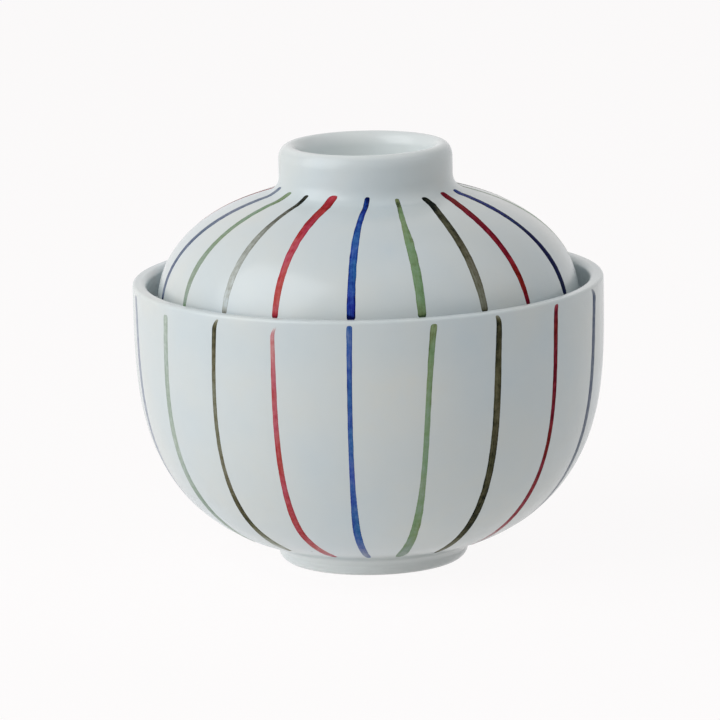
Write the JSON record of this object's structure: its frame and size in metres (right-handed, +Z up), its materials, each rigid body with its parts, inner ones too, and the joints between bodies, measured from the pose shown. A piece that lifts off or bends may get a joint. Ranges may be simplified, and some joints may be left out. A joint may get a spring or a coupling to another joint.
{
  "type": "lidded soup bowl",
  "caption": "Round porcelain soup bowl on a foot ring, with a domed lid that sits on a ledge inside the rim and lifts off by its ring knob, both painted with upright lines.",
  "frame": {"origin": "centre of the foot ring, on the table", "axes": "+Z up along the axis that the bowl and lid are turned on; -Y towards the viewer of the picture"},
  "size_m": [0.104, 0.104, 0.093],
  "materials": {
    "bowl_glaze": "glossy pale blue-grey glaze over white porcelain, bare at the foot",
    "lid_glaze": "glossy pale blue-grey glaze over white porcelain, bare at the lower edge",
    "blue_line": "cobalt blue brush line, fired on",
    "green_line": "leaf green brush line, fired on",
    "brown_line": "olive brown brush line, fired on",
    "red_line": "iron red brush line, fired on"
  },
  "bodies": {
    "bowl": {"bowl": "bowl_glaze"},
    "lid": {"lid": "lid_glaze"}
  },
  "joints": [
    {"name": "lid_lift", "type": "slide", "parent": "bowl", "child": "lid", "axis": [0, 0, 1], "range_m": [0, 0.08]}
  ]
}
